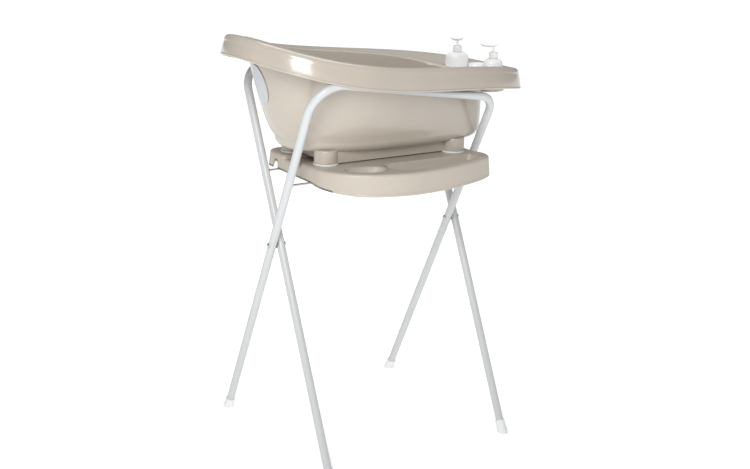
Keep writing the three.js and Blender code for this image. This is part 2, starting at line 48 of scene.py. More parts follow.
GAP = 0.3  # play between parts that fit together
SMOOTH = 32  # degrees; sharper edges are shown as edges

# ---------------------------------------------------------------- driving dimensions
WALL = 3
TUBE_R, TUBE_WALL = 11, 1.4
STAND_X, LEG_SPAN, STAGGER = -27.8, 572.5, 25
PIVOT_Z, LEAN = 574, math.radians(25.4)
TOP_HEAD, TOP_FOOT = 505.5, 418
BEND_HEAD, BEND_FOOT = 74, 56
CLEAR_HEAD, CLEAR_FOOT = 90, 60  # from a leg's top down to the end of its straight part
LEG_STEPS, BEND_STEPS = 24, 22
ROD_R, ROD_S = 2.8, 198.4
ROD_Y, ROD_Z = ROD_S * math.sin(LEAN), PIVOT_Z + ROD_S * math.cos(LEAN)
RIVET_R, CAP_R = 4, 15.4

# u runs along the tub, from -1 at the foot end to +1 at the head end.
RIM_A = 432
RIM_SPEC = {"head": RIM_A, "foot": RIM_A, "mid": 224.5, "tilt": 69, "bow": 1.3,
            "power_head": 2.11, "power_foot": 2.85}
RIM_HEIGHT = (1047.9, 27.3, 12.8, 32.0, 1.0)  # powers of u, from u^0
APRON_DROP = {"head": 50, "foot": 58.5}
APRON_FLARE = 10.7
CROWN = (13.5, 16)  # half width and height of the rim's rounded crown
BEAD_R = 3
TUB_BOTTOM, TURN_HEIGHT, TURN_REACH = 830, 28, 26
DECK_T = 5
LIP_R = 6
BODY_TOP = {"head": 386, "foot": 308, "mid": 176, "tilt": 46, "power_head": 2.15, "power_foot": 2.9}
BODY_LOW = {"head": 305, "foot": 292, "mid": 144, "tilt": 4, "power_head": 2.3, "power_foot": 3.4}
FOOT_PULL = (0.89, 0.862)  # scales the inside's foot half along X, at its floor and at its rim
CASING = {"x0": 288, "x1": 378, "half": 86, "corner": 45, "low": 944, "high": 990}

TRAY_TOP, TRAY_BOTTOM, TRAY_FLARE = 798, 742, 6
TRAY = {"left": -268, "right": 228, "far": 150, "near": -270}
TRAY_EDGE_R = 7
TRAY_DISH = {"x": -160, "y": -184, "long": 54, "wide": 32, "turn": -0.22, "depth": 16}
TROUGH_DEPTH = 26
END_WELL = {"x": -170, "half": 48, "depth": 10}
SIDE_LOW_UNTIL, SIDE_RAISED_FROM = -225, -98  # along Y, for the lower edge of the tray's side
NOTCH_Z, NOTCH_R = 768, 10
CLIPS = (-190, 150)
CLIP_HALF, CUT_REACH = 5, 20
PILLAR_R, PILLAR_TOP, PAD_T = 30.6, 838, 4.5
SKIRT = {"x0": -215, "x1": 166, "half": 104, "corner": 24, "low": TRAY_TOP + 3, "high": 840}
PILLARS = {"head_near": (-219, -86), "head_far": (-219, 86),
           "foot_near": (170, -107), "foot_far": (170, 107)}
LABEL = {"angle": math.pi - 0.02, "fraction": 0.56, "spread_angle": 0.13, "spread_up": 0.19,
         "lean": -0.02, "lift": 1.6, "thick": 0.5}

# "head" is the pump head's length, and "nose" how far its middle lies off the stem, as a share of that.
BOTTLES = {
    "far": {"x": 296, "y": 56, "floor": 948, "wide": 66, "deep": 36, "body": 92,
            "head": 38, "nose": 0.05},
    "near": {"x": 343, "y": -48, "floor": 956, "wide": 55, "deep": 36, "body": 76,
             "head": 54, "nose": 0.22},
}
BOTTLE_TURN = math.radians(-33)
PUMP_RISE = 23
DISH = {"x": 336, "y": 12, "wide": 50, "deep": 28, "floor": 978, "height": 34, "thick": 14}
POCKET_PLAY, POCKET_CUT_TOP = 1.5, 1060


# ---------------------------------------------------------------- mesh helpers
def closed_mesh(name, points, faces, weld=True):
    """A mesh in metres from points in millimetres, its faces turned outwards."""
    mesh = bpy.data.meshes.new(name)
    mesh.from_pydata([tuple(p) for p in np.asarray(points, float) * MM], [], faces)
    shape = bmesh.new()
    shape.from_mesh(mesh)
    if weld:
        bmesh.ops.remove_doubles(shape, verts=shape.verts, dist=1e-6)
    bmesh.ops.recalc_face_normals(shape, faces=shape.faces)
    shape.to_mesh(mesh)
    shape.free()
    return mesh


def add_piece(name, points, faces, body, look, replaced=(), smooth=SMOOTH):
    """A closed mesh as a piece that rides on a body."""
    mesh = closed_mesh(name, points, faces)
    obj = bpy.data.objects.new(name, mesh)
    bpy.context.scene.collection.objects.link(obj)
    finish_mesh(obj, smooth)
    mesh.materials.append(MATERIALS[look])
    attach(obj, body)
    if replaced:
        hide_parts(*replaced)
    return obj


def finish_mesh(obj, smooth=SMOOTH):
    """Smooth shading, broken at edges sharper than the given degrees."""
    obj.data.polygons.foreach_set("use_smooth", [True] * len(obj.data.polygons))
    obj.data.set_sharp_from_angle(angle=math.radians(smooth))


def skin(rings, ends="poles"):
    """Quads over rings of equal length; ends are closed by poles, or the last ring meets the first."""
    rings = [np.asarray(r, float) for r in rings]
    count = len(rings[0])
    points = list(np.concatenate(rings))
    total = len(rings)
    faces = []
    spans = total if ends == "loop" else total - 1
    for r in range(spans):
        a0, b0 = r * count, ((r + 1) % total) * count
        for i in range(count):
            j = (i + 1) % count
            faces.append((a0 + i, a0 + j, b0 + j, b0 + i))
    if ends == "poles":
        for start, ring, flip in ((0, rings[0], True), ((total - 1) * count, rings[-1], False)):
            pole = len(points)
            points.append(ring.mean(axis=0))
            for i in range(count):
                j = (i + 1) % count
                faces.append((pole, start + j, start + i) if flip else (pole, start + i, start + j))
    return points, faces


def rounded(profile, radius, steps=5, closed=False):
    """The corners of a line of points in any dimension replaced by smooth turns."""
    p = [np.asarray(q, float) for q in profile]
    out = []
    for i, q in enumerate(p):
        if not closed and i in (0, len(p) - 1):
            out.append(q)
            continue
        before, after = p[i - 1] - q, p[(i + 1) % len(p)] - q
        to_before, to_after = np.linalg.norm(before), np.linalg.norm(after)
        reach = min(radius, to_before * 0.49, to_after * 0.49)
        a = q + before / to_before * reach
        b = q + after / to_after * reach
        for t in np.linspace(0, 1, steps):
            out.append((1 - t) ** 2 * a + 2 * t * (1 - t) * q + t * t * b)
    return np.array(out)


def turned(profile, radius=0.8, sides=64, ribs=0, rib_depth=0.0):
    """Rings of a turned piece standing on +Z, its corners rounded; ribs run up its widest parts."""
    line = rounded(profile, radius)
    angles = np.linspace(0, TURN, sides, endpoint=False)
    widest = line[:, 0].max()
    rings = []
    for r, z in line:
        ribbed = ribs and r > widest - 0.6
        reach = r - (rib_depth * (0.5 + 0.5 * np.cos(ribs * angles)) if ribbed else 0)
        rings.append(np.stack([reach * np.cos(angles), reach * np.sin(angles), np.full(sides, z)], 1))
    return rings


def moved(rings, x=0.0, y=0.0, z=0.0, matrix=None):
    """Rings turned by the matrix and then shifted."""
    made = []
    for ring in rings:
        ring = np.asarray(ring, float)
        if matrix is not None:
            ring = ring @ np.array(matrix.to_3x3()).T
        made.append(ring + np.array([x, y, z]))
    return made


def offset_ring(ring, distance, z=None):
    """An anticlockwise outline moved outwards; distance and z are one number or one per point."""
    along = np.roll(ring, -1, axis=0) - np.roll(ring, 1, axis=0)
    along = along[:, :2] / np.linalg.norm(along[:, :2], axis=1)[:, None]
    out = ring.copy()
    out[:, 0] += along[:, 1] * distance
    out[:, 1] -= along[:, 0] * distance
    if z is not None:
        out[:, 2] = z
    return out


def oval_ring(x, y, wide, deep, z, sides=72):
    """An ellipse lying flat, turned as the bottles stand."""
    t = np.linspace(0, TURN, sides, endpoint=False)
    u, v = wide / 2 * np.cos(t), deep / 2 * np.sin(t)
    c, s = math.cos(BOTTLE_TURN), math.sin(BOTTLE_TURN)
    return np.stack([x + u * c - v * s, y + u * s + v * c, np.full(sides, float(z))], 1)


def box_rings(x0, x1, y0, y1, z0, z1, corner=2.0, edge=1.0):
    """A block with rounded upright corners and softened top and bottom edges."""
    plan = rounded([(x0, y0), (x1, y0), (x1, y1), (x0, y1)], corner, 6, closed=True)
    centre = plan.mean(axis=0)
    rings = []
    for inset, z in ((edge, z0), (edge * 0.3, z0 + edge * 0.3), (0, z0 + edge), (0, z1 - edge),
                     (edge * 0.3, z1 - edge * 0.3), (edge, z1)):
        half = np.maximum(np.abs(plan - centre) - inset, 0) * np.sign(plan - centre)
        rings.append(np.column_stack([centre + half, np.full(len(plan), float(z))]))
    return rings


def cut(obj, points, faces):
    """Takes a closed form out of a piece."""
    cutter = bpy.data.objects.new("cutter", closed_mesh("cutter", points, faces, weld=False))
    bpy.context.scene.collection.objects.link(cutter)
    tool = obj.modifiers.new("cut", "BOOLEAN")
    tool.operation, tool.solver, tool.object = "DIFFERENCE", "EXACT", cutter
    bpy.context.view_layer.update()
    result = bpy.data.meshes.new_from_object(obj.evaluated_get(bpy.context.evaluated_depsgraph_get()))
    obj.modifiers.clear()
    obj.data = result
    bpy.data.objects.remove(cutter)


# ---------------------------------------------------------------- materials
def surface(name, colour, roughness, *, metallic=0.0, coat=0.0, tone=0.05, patch=9.0, grain=900.0,
            bump=0.05, bump_mm=0.15, wear=0.12, wear_colour=None, subsurface=0.0, stretch=(1, 1, 1)):
    """A worn, slightly uneven surface: colour drift, uneven polish, fine relief and paler edges."""
    material = bpy.data.materials.new(name)
    material.use_nodes = True
    nodes, links = material.node_tree.nodes, material.node_tree.links
    shader = nodes["Principled BSDF"]
    shader.inputs["Metallic"].default_value = metallic
    shader.inputs["Coat Weight"].default_value = coat
    shader.inputs["Coat Roughness"].default_value = 0.12
    shader.inputs["Subsurface Weight"].default_value = subsurface
    shader.inputs["Subsurface Radius"].default_value = (0.004, 0.003, 0.002)

    place = nodes.new("ShaderNodeTexCoord")
    mapping = nodes.new("ShaderNodeMapping")
    mapping.inputs["Scale"].default_value = stretch
    links.new(place.outputs["Object"], mapping.inputs["Vector"])

    def noise(scale, detail):
        node = nodes.new("ShaderNodeTexNoise")
        node.inputs["Scale"].default_value = scale
        node.inputs["Detail"].default_value = detail
        links.new(mapping.outputs["Vector"], node.inputs["Vector"])
        return node.outputs["Fac"]

    def remap(value, low, high, to_low, to_high):
        node = nodes.new("ShaderNodeMapRange")
        ends = (("From Min", low), ("From Max", high), ("To Min", to_low), ("To Max", to_high))
        for key, number in ends:
            node.inputs[key].default_value = number
        links.new(value, node.inputs["Value"])
        return node.outputs["Result"]

    def mix(factor, a, b):
        node = nodes.new("ShaderNodeMix")
        node.data_type = "RGBA"
        links.new(factor, node.inputs["Factor"])
        for socket, value in ((node.inputs["A"], a), (node.inputs["B"], b)):
            if isinstance(value, bpy.types.NodeSocket):
                links.new(value, socket)
            else:
                socket.default_value = (*value, 1)
        return node.outputs["Result"]

    colour = np.array(colour)
    dark, light = colour * (1 - tone), np.minimum(colour * (1 + tone), 1)
    drift = mix(remap(noise(patch, 3), 0.3, 0.7, 0, 1), tuple(dark), tuple(light))
    edges = nodes.new("ShaderNodeNewGeometry").outputs["Pointiness"]
    rubbed = nodes.new("ShaderNodeMath")
    rubbed.operation = "MULTIPLY"
    links.new(remap(edges, 0.52, 0.62, 0, 1), rubbed.inputs[0])
    links.new(remap(noise(60, 5), 0.4, 0.7, 0, wear), rubbed.inputs[1])
    rub = wear_colour or tuple(np.minimum(colour * 1.25 + 0.05, 1))
    links.new(mix(rubbed.outputs["Value"], drift, rub), shader.inputs["Base Color"])
    polish = remap(noise(45, 4), 0.3, 0.7, roughness * 0.88, roughness * 1.14)
    links.new(polish, shader.inputs["Roughness"])

    relief = nodes.new("ShaderNodeBump")
    relief.inputs["Strength"].default_value = bump
    relief.inputs["Distance"].default_value = bump_mm * MM
    links.new(noise(grain, 3), relief.inputs["Height"])
    links.new(relief.outputs["Normal"], shader.inputs["Normal"])
    return material


MATERIALS = {
    "tub": surface("taupe_gloss_plastic", (0.477, 0.427, 0.366), 0.2, coat=0.35, tone=0.03, bump=0.06,
                   subsurface=0.04),
    "tray": surface("taupe_satin_plastic", (0.505, 0.453, 0.391), 0.4, tone=0.03, grain=2200, bump=0.16,
                    bump_mm=0.12),
    "paint": surface("white_powder_coat", (0.57, 0.585, 0.588), 0.33, coat=0.1, tone=0.02, grain=1500,
                     bump=0.12, bump_mm=0.12, wear=0.3, wear_colour=(0.45, 0.45, 0.45)),
    "white": surface("white_moulding", (0.8, 0.808, 0.803), 0.42, tone=0.025, grain=1800, bump=0.08,
                     subsurface=0.05),
    "bottle": surface("white_bottle_plastic", (0.9, 0.91, 0.905), 0.38, tone=0.02, grain=1800, bump=0.06,
                      subsurface=0.05),
    "zinc": surface("bright_zinc", (0.5, 0.5, 0.51), 0.32, metallic=1.0, tone=0.12, patch=120, grain=700,
                    bump=0.2, wear=0.4, stretch=(0.15, 1, 1)),
    "label": surface("printed_film", (0.5, 0.53, 0.55), 0.4, tone=0.04, patch=60, grain=2500, bump=0.05),
    "soap": surface("lavender_soap", (0.46, 0.44, 0.56), 0.55, tone=0.07, patch=70, grain=500, bump=0.15,
                    subsurface=0.15),
}


# ---------------------------------------------------------------- stand
def frame_to_row(points, side):
    """From a frame's own plane to the row: side is +1 for A, whose top leans to -Y, and -1 for B."""
    p = np.asarray(points, float)
    c, s = math.cos(side * LEAN), math.sin(side * LEAN)
    return np.stack([p[:, 0] + STAND_X - side * STAGGER / 2, p[:, 1] * c - p[:, 2] * s,
                     p[:, 1] * s + p[:, 2] * c + PIVOT_Z], 1)


def frame_line(foot_z):
    """Stations along a frame's tube, each a place and a heading in the XZ plane."""
    half = LEG_SPAN / 2
    slope = math.atan2(TOP_HEAD - TOP_FOOT, LEG_SPAN)
    stations = [((-half, z), math.pi / 2) for z in np.linspace(foot_z, TOP_HEAD - CLEAR_HEAD, LEG_STEPS)]
    corners = ((-half, TOP_HEAD, math.pi / 2, -slope, BEND_HEAD),
               (half, TOP_FOOT, -slope, -math.pi / 2, BEND_FOOT))
    for x, z, into, out, radius in corners:
        turn = into - out
        reach = radius * math.tan(turn / 2)
        bx, bz = x - math.cos(into) * reach, z - math.sin(into) * reach
        cx, cz = bx + math.sin(into) * radius, bz - math.cos(into) * radius
        for t in np.linspace(0, 1, BEND_STEPS):
            heading = into - turn * t
            place = (cx - math.sin(heading) * radius, cz + math.cos(heading) * radius)
            stations.append((place, heading))
    stations += [((half, z), -math.pi / 2)
                 for z in np.linspace(TOP_FOOT - CLEAR_FOOT, foot_z, LEG_STEPS)]
    return stations


TUBE_FOOT_Z = -(PIVOT_Z - 10) / math.cos(LEAN)


def add_frame(letter, side):
    """One frame: its bent tube, its cross rod with a weld bead at each end, and its two feet."""
    angles = np.linspace(0, TURN, 40, endpoint=False)
    outer, inner = [], []
    for (x, z), heading in frame_line(TUBE_FOOT_Z):
        normal = np.array([-math.sin(heading), 0, math.cos(heading)])
        for rings, r in ((outer, TUBE_R), (inner, TUBE_R - TUBE_WALL)):
            across = np.outer(np.cos(angles) * r, normal) + np.outer(np.sin(angles) * r, (0, 1, 0))
            rings.append(frame_to_row(np.array([x, 0, z]) + across, side))
    body = f"frame_{letter}"
    add_piece(f"{body}_bent_tube", *skin(outer + inner[::-1], "loop"), body, "paint", [f"{body}_tube"])

    reach = LEG_SPAN / 2 - TUBE_R + TUBE_WALL + 2.5
    rod = turned([(0, -reach), (ROD_R, -reach), (ROD_R, reach), (0, reach)], 0.5, 32)
    rod = moved(rod, 0, 0, ROD_S, ALONG_X)
    rod = [frame_to_row(r, side) for r in rod]
    add_piece(f"rod_{letter}_bright", *skin(rod), body, "zinc", [f"rod_{letter}"])
    inside = LEG_SPAN / 2 - TUBE_R
    for end, sign in (("head", -1), ("foot", 1)):
        bead = [(ROD_R + 0.05, 0), (ROD_R + 2.1, 0.2), (ROD_R + 1.5, 1.6), (ROD_R + 0.05, 2.6)]
        inwards = Matrix.Rotation(-sign * math.pi / 2, 4, "Y")
        bead = moved(turned(bead, 0.6, 32), sign * inside, 0, ROD_S, inwards)
        bead = [frame_to_row(r, side) for r in bead]
        add_piece(f"rod_{letter}_weld_{end}", *skin(bead, "loop"), body, "zinc")
        add_foot_cap(letter, side, end, sign * LEG_SPAN / 2)


def add_foot_cap(letter, side, end, x):
    """A flared cup whose underside lies flat on the floor."""
    sides = 64
    angles = np.linspace(0, TURN, sides, endpoint=False)
    top = TUBE_FOOT_Z + 26
    seat = TUBE_FOOT_Z - GAP
    flare = -(PIVOT_Z + 12) / math.cos(LEAN) + 24

    def ring(r, z):
        return np.stack([x + r * np.cos(angles), r * np.sin(angles), np.broadcast_to(z, sides)], 1)

    def floor(r, lift):
        y = r * np.sin(angles)
        return (-PIVOT_Z + lift - y * math.sin(side * LEAN)) / math.cos(LEAN)

    outer = [(12.3, top), (12.9, top - 0.7), (13.6, top - 3), (13.9, flare + 6), (14.6, flare + 2),
             (CAP_R, flare - 2)]
    under = ((0.01, 0), (CAP_R - 4, 0), (CAP_R - 1.4, 0), (CAP_R - 0.4, 0.4), (CAP_R, 1.4))
    rings = [ring(r, floor(r, lift)) for r, lift in under]
    rings += [ring(r, z) for r, z in rounded(outer, 1.5)[::-1]]
    rings += [ring(TUBE_R + GAP, top), ring(TUBE_R + GAP, seat), ring(0.01, seat)]
    add_piece(f"foot_cap_{letter}_{end}_flared", *skin([frame_to_row(r, side) for r in rings]),
              f"frame_{letter}", "white", [f"foot_cap_{letter}_{end}"])


def add_pivots():
    """At each crossing of the legs, a domed rivet and the washer between the tubes."""
    for end, sign in (("head", -1), ("foot", 1)):
        outer_x = sign * LEG_SPAN / 2 - STAGGER / 2
        head, tail = outer_x - TUBE_R - GAP, outer_x + STAGGER + TUBE_R + GAP
        dome = [(7 * math.sin(a), head - 3.4 * math.cos(a)) for a in np.linspace(0, math.pi / 2, 9)]
        button = [(6.2, tail), (5.4, tail + 1.3), (3, tail + 2.4), (0, tail + 2.8)]
        rivet = [*dome, (RIVET_R, head), (RIVET_R, tail), *button]
        rings = moved(turned(rivet, 0.4, 48), STAND_X, 0, PIVOT_Z, ALONG_X)
        add_piece(f"pivot_rivet_{end}_domed", *skin(rings), "pivots", "zinc", [f"pivot_rivet_{end}"])
        middle, half = outer_x + STAGGER / 2, STAGGER / 2 - TUBE_R - GAP
        washer = [(RIVET_R + 0.1, -half), (9, -half), (9, half), (RIVET_R + 0.1, half)]
        rings = moved(turned(washer, 0.35, 48), STAND_X + middle, 0, PIVOT_Z, ALONG_X)
        add_piece(f"pivot_spacer_{end}_washer", *skin(rings, "loop"), "pivots", "zinc",
                  [f"pivot_spacer_{end}"])


# ---------------------------------------------------------------- tub
RING = 288
ANGLES = np.linspace(0, TURN, RING, endpoint=False)


def signed_power(value, power):
    """The power of a number's size, with its sign kept."""
    return np.sign(value) * np.abs(value) ** power


def rim_height(u):
    """Height of the rim's crown, highest at the head end."""
    return sum(c * u**i for i, c in enumerate(RIM_HEIGHT))


def egg_ring(spec, angles, height):
    """An egg-like outline, each half a superellipse with its own half length and power."""
    power = np.where(np.cos(angles) < 0, spec["power_head"], spec["power_foot"])
    along = signed_power(np.cos(angles), 2 / power)
    u = -along
    half = spec["mid"] + spec["tilt"] * u + spec.get("bow", 0) * u * u
    x = along * np.where(along < 0, spec["head"], spec["foot"])
    return np.stack([x, half * signed_power(np.sin(angles), 2 / power), height(u)], 1)


RIM = egg_ring(RIM_SPEC, ANGLES, rim_height)
HEADWARDS = np.maximum(0, -RIM[:, 0] / RIM_A)
APRON = APRON_DROP["foot"] + (APRON_DROP["head"] - APRON_DROP["foot"]) * HEADWARDS**2


def wall_ring(fraction, inset=0.0, angles=ANGLES):
    """The outer wall's outline at a fraction of the way from the bottom turn to the rim."""
    f = fraction**0.7
    spec = {k: BODY_LOW[k] + (BODY_TOP[k] - BODY_LOW[k]) * f for k in BODY_LOW}
    low = TUB_BOTTOM + TURN_HEIGHT

    def height(u):
        return low + (rim_height(u) - 2 * DECK_T - low) * fraction

    ring = egg_ring(spec, angles, height)
    return offset_ring(ring, -inset) if inset else ring


def bottom_rings(inset, steps=10):
    """The turn from the flat bottom up to the wall, starting at the flat."""
    low = wall_ring(0, inset)
    rings = []
    for i in range(steps):
        angle = math.pi / 2 * i / steps
        pull = TURN_REACH * (1 - math.sin(angle))
        height = TUB_BOTTOM + inset + (TURN_HEIGHT - inset) * (1 - math.cos(angle))
        rings.append(offset_ring(low, -pull, height))
    return rings


def rim_ring(out, drop):
    """The rim's outline moved outwards and down."""
    return offset_ring(RIM, out, RIM[:, 2] - drop)


def rim_rings():
    """From under the rim, round the apron's bead and the crown to the deck."""
    rings = [rim_ring(-10, 5), rim_ring(-5.5, 9), rim_ring(-4, 15)]
    for t in np.linspace(0.2, 1, 5):
        rings.append(rim_ring(-4 + t * (APRON_FLARE - WALL + 3), 15 + t * (APRON - 18)))
    for angle in np.radians(np.arange(-110, 71, 20)):
        rings.append(rim_ring(APRON_FLARE - BEAD_R + BEAD_R * math.cos(angle),
                              APRON - BEAD_R - BEAD_R * math.sin(angle)))
    foot, top = APRON_FLARE - 2.1, CROWN[0] - 12
    for t in np.linspace(0.08, 1, 10):
        bulge = 0.9 * math.sin(math.pi * t)
        rings.append(rim_ring(foot + (top - foot) * t + bulge, APRON - 7 + (CROWN[1] - APRON + 7) * t))
    for angle in np.radians(np.arange(9, 100, 9)):
        rings.append(rim_ring(CROWN[0] * math.cos(angle) - 12, CROWN[1] * (1 - math.sin(angle))))
    return rings


def pulled_in(ring, fraction):
    """The foot half of an inside ring drawn in, at a fraction of the wall's height."""
    low, high = FOOT_PULL
    pull = low + (high - low) * fraction
    ring[:, 0] = np.where(ring[:, 0] > 0, ring[:, 0] * pull, ring[:, 0])
    return ring


def inner_rings():
    """From the bath floor up to the deck, with a soft lip round the opening."""
    rings = [pulled_in(ring, 0) for ring in bottom_rings(WALL)]
    rings += [pulled_in(wall_ring(f, WALL), f) for f in np.linspace(0, 0.97, 18)]
    top = pulled_in(wall_ring(1, WALL), 1)
    for angle in np.radians(np.arange(0, 91, 15)):
        rings.append(offset_ring(top, LIP_R * (1 - math.cos(angle)),
                                 top[:, 2] + DECK_T - LIP_R * (1 - math.sin(angle))))
    return rings


def add_tub():
    """The bath in one skin, with its pockets cut, and what is moulded or stuck on to it."""
    outer = bottom_rings(0) + [wall_ring(f) for f in np.linspace(0, 0.985, 18)]
    inner = inner_rings()
    rim = rim_rings()
    edge, lip = rim[-1], inner[-1]
    deck = []
    for t in np.linspace(0.12, 0.88, 9):
        ring = edge + (lip - edge) * t
        ease = t * t * (3 - 2 * t)
        ring[:, 2] = edge[:, 2] + (lip[:, 2] - edge[:, 2]) * ease
        deck.append(ring)
    tub = add_piece("tub_moulding", *skin(outer + rim + deck + inner[::-1]), "tub", "tub", ["tub_shell"])
    casing = box_rings(CASING["x0"], CASING["x1"], -CASING["half"], CASING["half"], CASING["low"],
                       CASING["high"], CASING["corner"], 4)
    pocket = add_piece("tub_pocket_casing", *skin(casing), "tub", "tub")
    holes = [(b["x"], b["y"], b["wide"], b["deep"], b["floor"]) for b in BOTTLES.values()]
    holes.append((DISH["x"], DISH["y"], DISH["wide"], DISH["deep"], DISH["floor"]))
    for x, y, wide, deep, low in holes:
        for obj in (tub, pocket):
            size = (wide + 2 * POCKET_PLAY, deep + 2 * POCKET_PLAY)
            rings = [oval_ring(x, y, *size, z) for z in (low, POCKET_CUT_TOP)]
            cut(obj, *skin(rings))
            finish_mesh(obj)

    for name, (x, y) in PILLARS.items():
        add_pillar(name, x, y)
    add_skirt()
    add_label()


def add_pillar(name, x, y):
    """A hollow pillar with a closed top, and the soft pad pressed into its open foot."""
    low = TRAY_TOP + PAD_T + 2 * GAP
    bore = PILLAR_R - WALL
    post = [(bore, low), (PILLAR_R - 0.6, low), (PILLAR_R, low + 1.4), (PILLAR_R, PILLAR_TOP),
            (0, PILLAR_TOP), (0, PILLAR_TOP - WALL), (bore, PILLAR_TOP - WALL)]
    add_piece(f"tub_pillar_{name}", *skin(moved(turned(post, 4, 72), x, y), "loop"), "tub", "tub")
    plug = bore - GAP
    pad = [(0, TRAY_TOP + GAP), (PILLAR_R + 1.8, TRAY_TOP + GAP), (PILLAR_R + 1.8, low - GAP),
           (plug, low - GAP), (plug, low + 7.7), (plug - 2, low + 7.7), (plug - 2, low - 2.3),
           (0, low - 2.3)]
    add_piece(f"pillar_pad_{name}_soft", *skin(moved(turned(pad, 0.8, 72), x, y)), "tub", "white",
              [f"pillar_pad_{name}"])


def add_skirt():
    """The thin band under the bath between the pillars."""
    def ring(inset, z):
        x0, x1, y = SKIRT["x0"] + inset, SKIRT["x1"] - inset, SKIRT["half"] - inset
        plan = rounded([(x0, -y), (x1, -y), (x1, y), (x0, y)], SKIRT["corner"], 12, closed=True)
        return np.column_stack([plan, np.full(len(plan), float(z))])

    low, high = SKIRT["low"], SKIRT["high"]
    rings = [ring(0.6, low), ring(0, low + 0.8), ring(0, high), ring(WALL, high),
             ring(WALL, low + 0.8), ring(WALL - 0.6, low)]
    add_piece("tub_skirt", *skin(rings, "loop"), "tub", "tub")


def add_label():
    """A thin oval film on the head-end wall with a raised border."""
    spokes = 96

    def point(angle, fraction):
        return wall_ring(fraction, 0, np.array([angle]))[0]

    def lifted(angle, fraction, lift):
        here = point(angle, fraction)
        around, up = point(angle + 0.01, fraction) - here, point(angle, fraction + 0.01) - here
        normal = np.cross(around, up)
        return here + normal / np.linalg.norm(normal) * lift

    def layer(band, lift):
        out = []
        for i in range(spokes):
            turn = TURN * i / spokes
            rise = band * math.sin(turn)
            angle = LABEL["angle"] + LABEL["spread_angle"] * band * math.cos(turn) + LABEL["lean"] * rise
            out.append(lifted(angle, LABEL["fraction"] + LABEL["spread_up"] * rise, lift))
        return np.array(out)

    low, high = LABEL["lift"], LABEL["lift"] + LABEL["thick"]
    sunk = high - 0.15
    rings = [layer(band, low) for band in (0.01, 0.35, 0.7, 0.98)]
    rings += [layer(1.0, (low + high) / 2), layer(0.985, high), layer(0.93, high)]
    rings += [layer(band, sunk) for band in (0.915, 0.6, 0.3, 0.01)]
    add_piece("head_label_film", *skin(rings), "tub", "label", ["head_label"])


# ---------------------------------------------------------------- tray
def bezier(a, b, c, d, steps=24):
    """Points of a cubic curve, without its end."""
    t = np.linspace(0, 1, steps, endpoint=False)[:, None]
    a, b, c, d = (np.array(q, float) for q in (a, b, c, d))
    return (1 - t) ** 3 * a + 3 * t * (1 - t) ** 2 * b + 3 * t * t * (1 - t) * c + t**3 * d


def arc(x, y, r, start, end, steps=16):
    """Points of an arc, without its end."""
    t = np.linspace(start, end, steps, endpoint=False)
    return np.stack([x + r * np.cos(t), y + r * np.sin(t)], 1)


def evenly(points, count):
    """A closed outline with its points evenly spaced along it."""
    loop = np.vstack([points, points[:1]])
    run = np.concatenate([[0], np.cumsum(np.linalg.norm(np.diff(loop, axis=0), axis=1))])
    at = np.linspace(0, run[-1], count, endpoint=False)
    return np.stack([np.interp(at, run, loop[:, 0]), np.interp(at, run, loop[:, 1])], 1)


def tray_outline(count=384):
    """Straight at the back and the ends, bowed out at the front."""
    left, right, far, near = (TRAY[k] for k in ("left", "right", "far", "near"))
    parts = [
        [(left, 112)],
        bezier((left, -120), (left, -190), (-180, near + 8), (-64, near)),
        bezier((-64, near), (30, near - 4), (130, -244), (200, -214)),
        bezier((200, -214), (228, -202), (right + 14, -178), (right + 8, -150), 12),
        bezier((right + 8, -150), (right + 4, -135), (right, -130), (right, -118), 8),
        [(right, 112)],
        arc(right - 38, far - 38, 38, 0, math.pi / 2),
        arc(left + 38, far - 38, 38, math.pi / 2, math.pi),
    ]
    return evenly(np.vstack([np.asarray(p, float) for p in parts]), count)


def trough_outline():
    """Wide at the head end, narrower at the foot end."""
    return np.vstack([
        arc(170, -180, 26, -0.4 * math.pi, math.pi / 2),
        arc(-70, -184, 30, math.pi / 2, math.pi),
        bezier((-100, -184), (-100, -248), (-40, -246), (20, -240)),
        [(20, -240)],
    ])


def distance_to(points, outline):
    """Signed distance to a closed outline, negative inside."""
    best = np.full(len(points), 1e9)
    inside = np.zeros(len(points), bool)
    for a, b in zip(outline, np.roll(outline, -1, axis=0)):
        edge, to = b - a, points - a
        t = np.clip(to @ edge / (edge @ edge), 0, 1)
        best = np.minimum(best, np.linalg.norm(to - t[:, None] * edge, axis=1))
        crosses = (a[1] > points[:, 1]) != (b[1] > points[:, 1])
        with np.errstate(divide="ignore", invalid="ignore"):
            cross_x = a[0] + (points[:, 1] - a[1]) * edge[0] / edge[1]
        inside ^= crosses & (points[:, 0] < cross_x)
    return np.where(inside, -best, best)


def tray_depth(points):
    """How far the deck dips at each point, in the dish, the trough and the end well."""
    round_it = np.linspace(0, TURN, 48, endpoint=False)
    c, s = math.cos(TRAY_DISH["turn"]), math.sin(TRAY_DISH["turn"])
    oval = np.column_stack([TRAY_DISH["long"] * np.cos(round_it), TRAY_DISH["wide"] * np.sin(round_it)])
    dish = oval @ np.array([[c, s], [-s, c]]) + (TRAY_DISH["x"], TRAY_DISH["y"])
    end, half, outside = END_WELL["x"], END_WELL["half"], -320
    well = np.array([(outside, -half), (end, -half), (end, half), (outside, half)], float)
    total = np.zeros(len(points))
    hollows = ((dish, TRAY_DISH["depth"], 7), (trough_outline(), TROUGH_DEPTH, 6),
               (well, END_WELL["depth"], 4))
    for outline, depth, slope in hollows:
        t = np.clip(0.5 - (distance_to(points, outline) + slope / 2) / slope, 0, 1)
        total = np.maximum(total, depth * t * t * (3 - 2 * t))
    return total


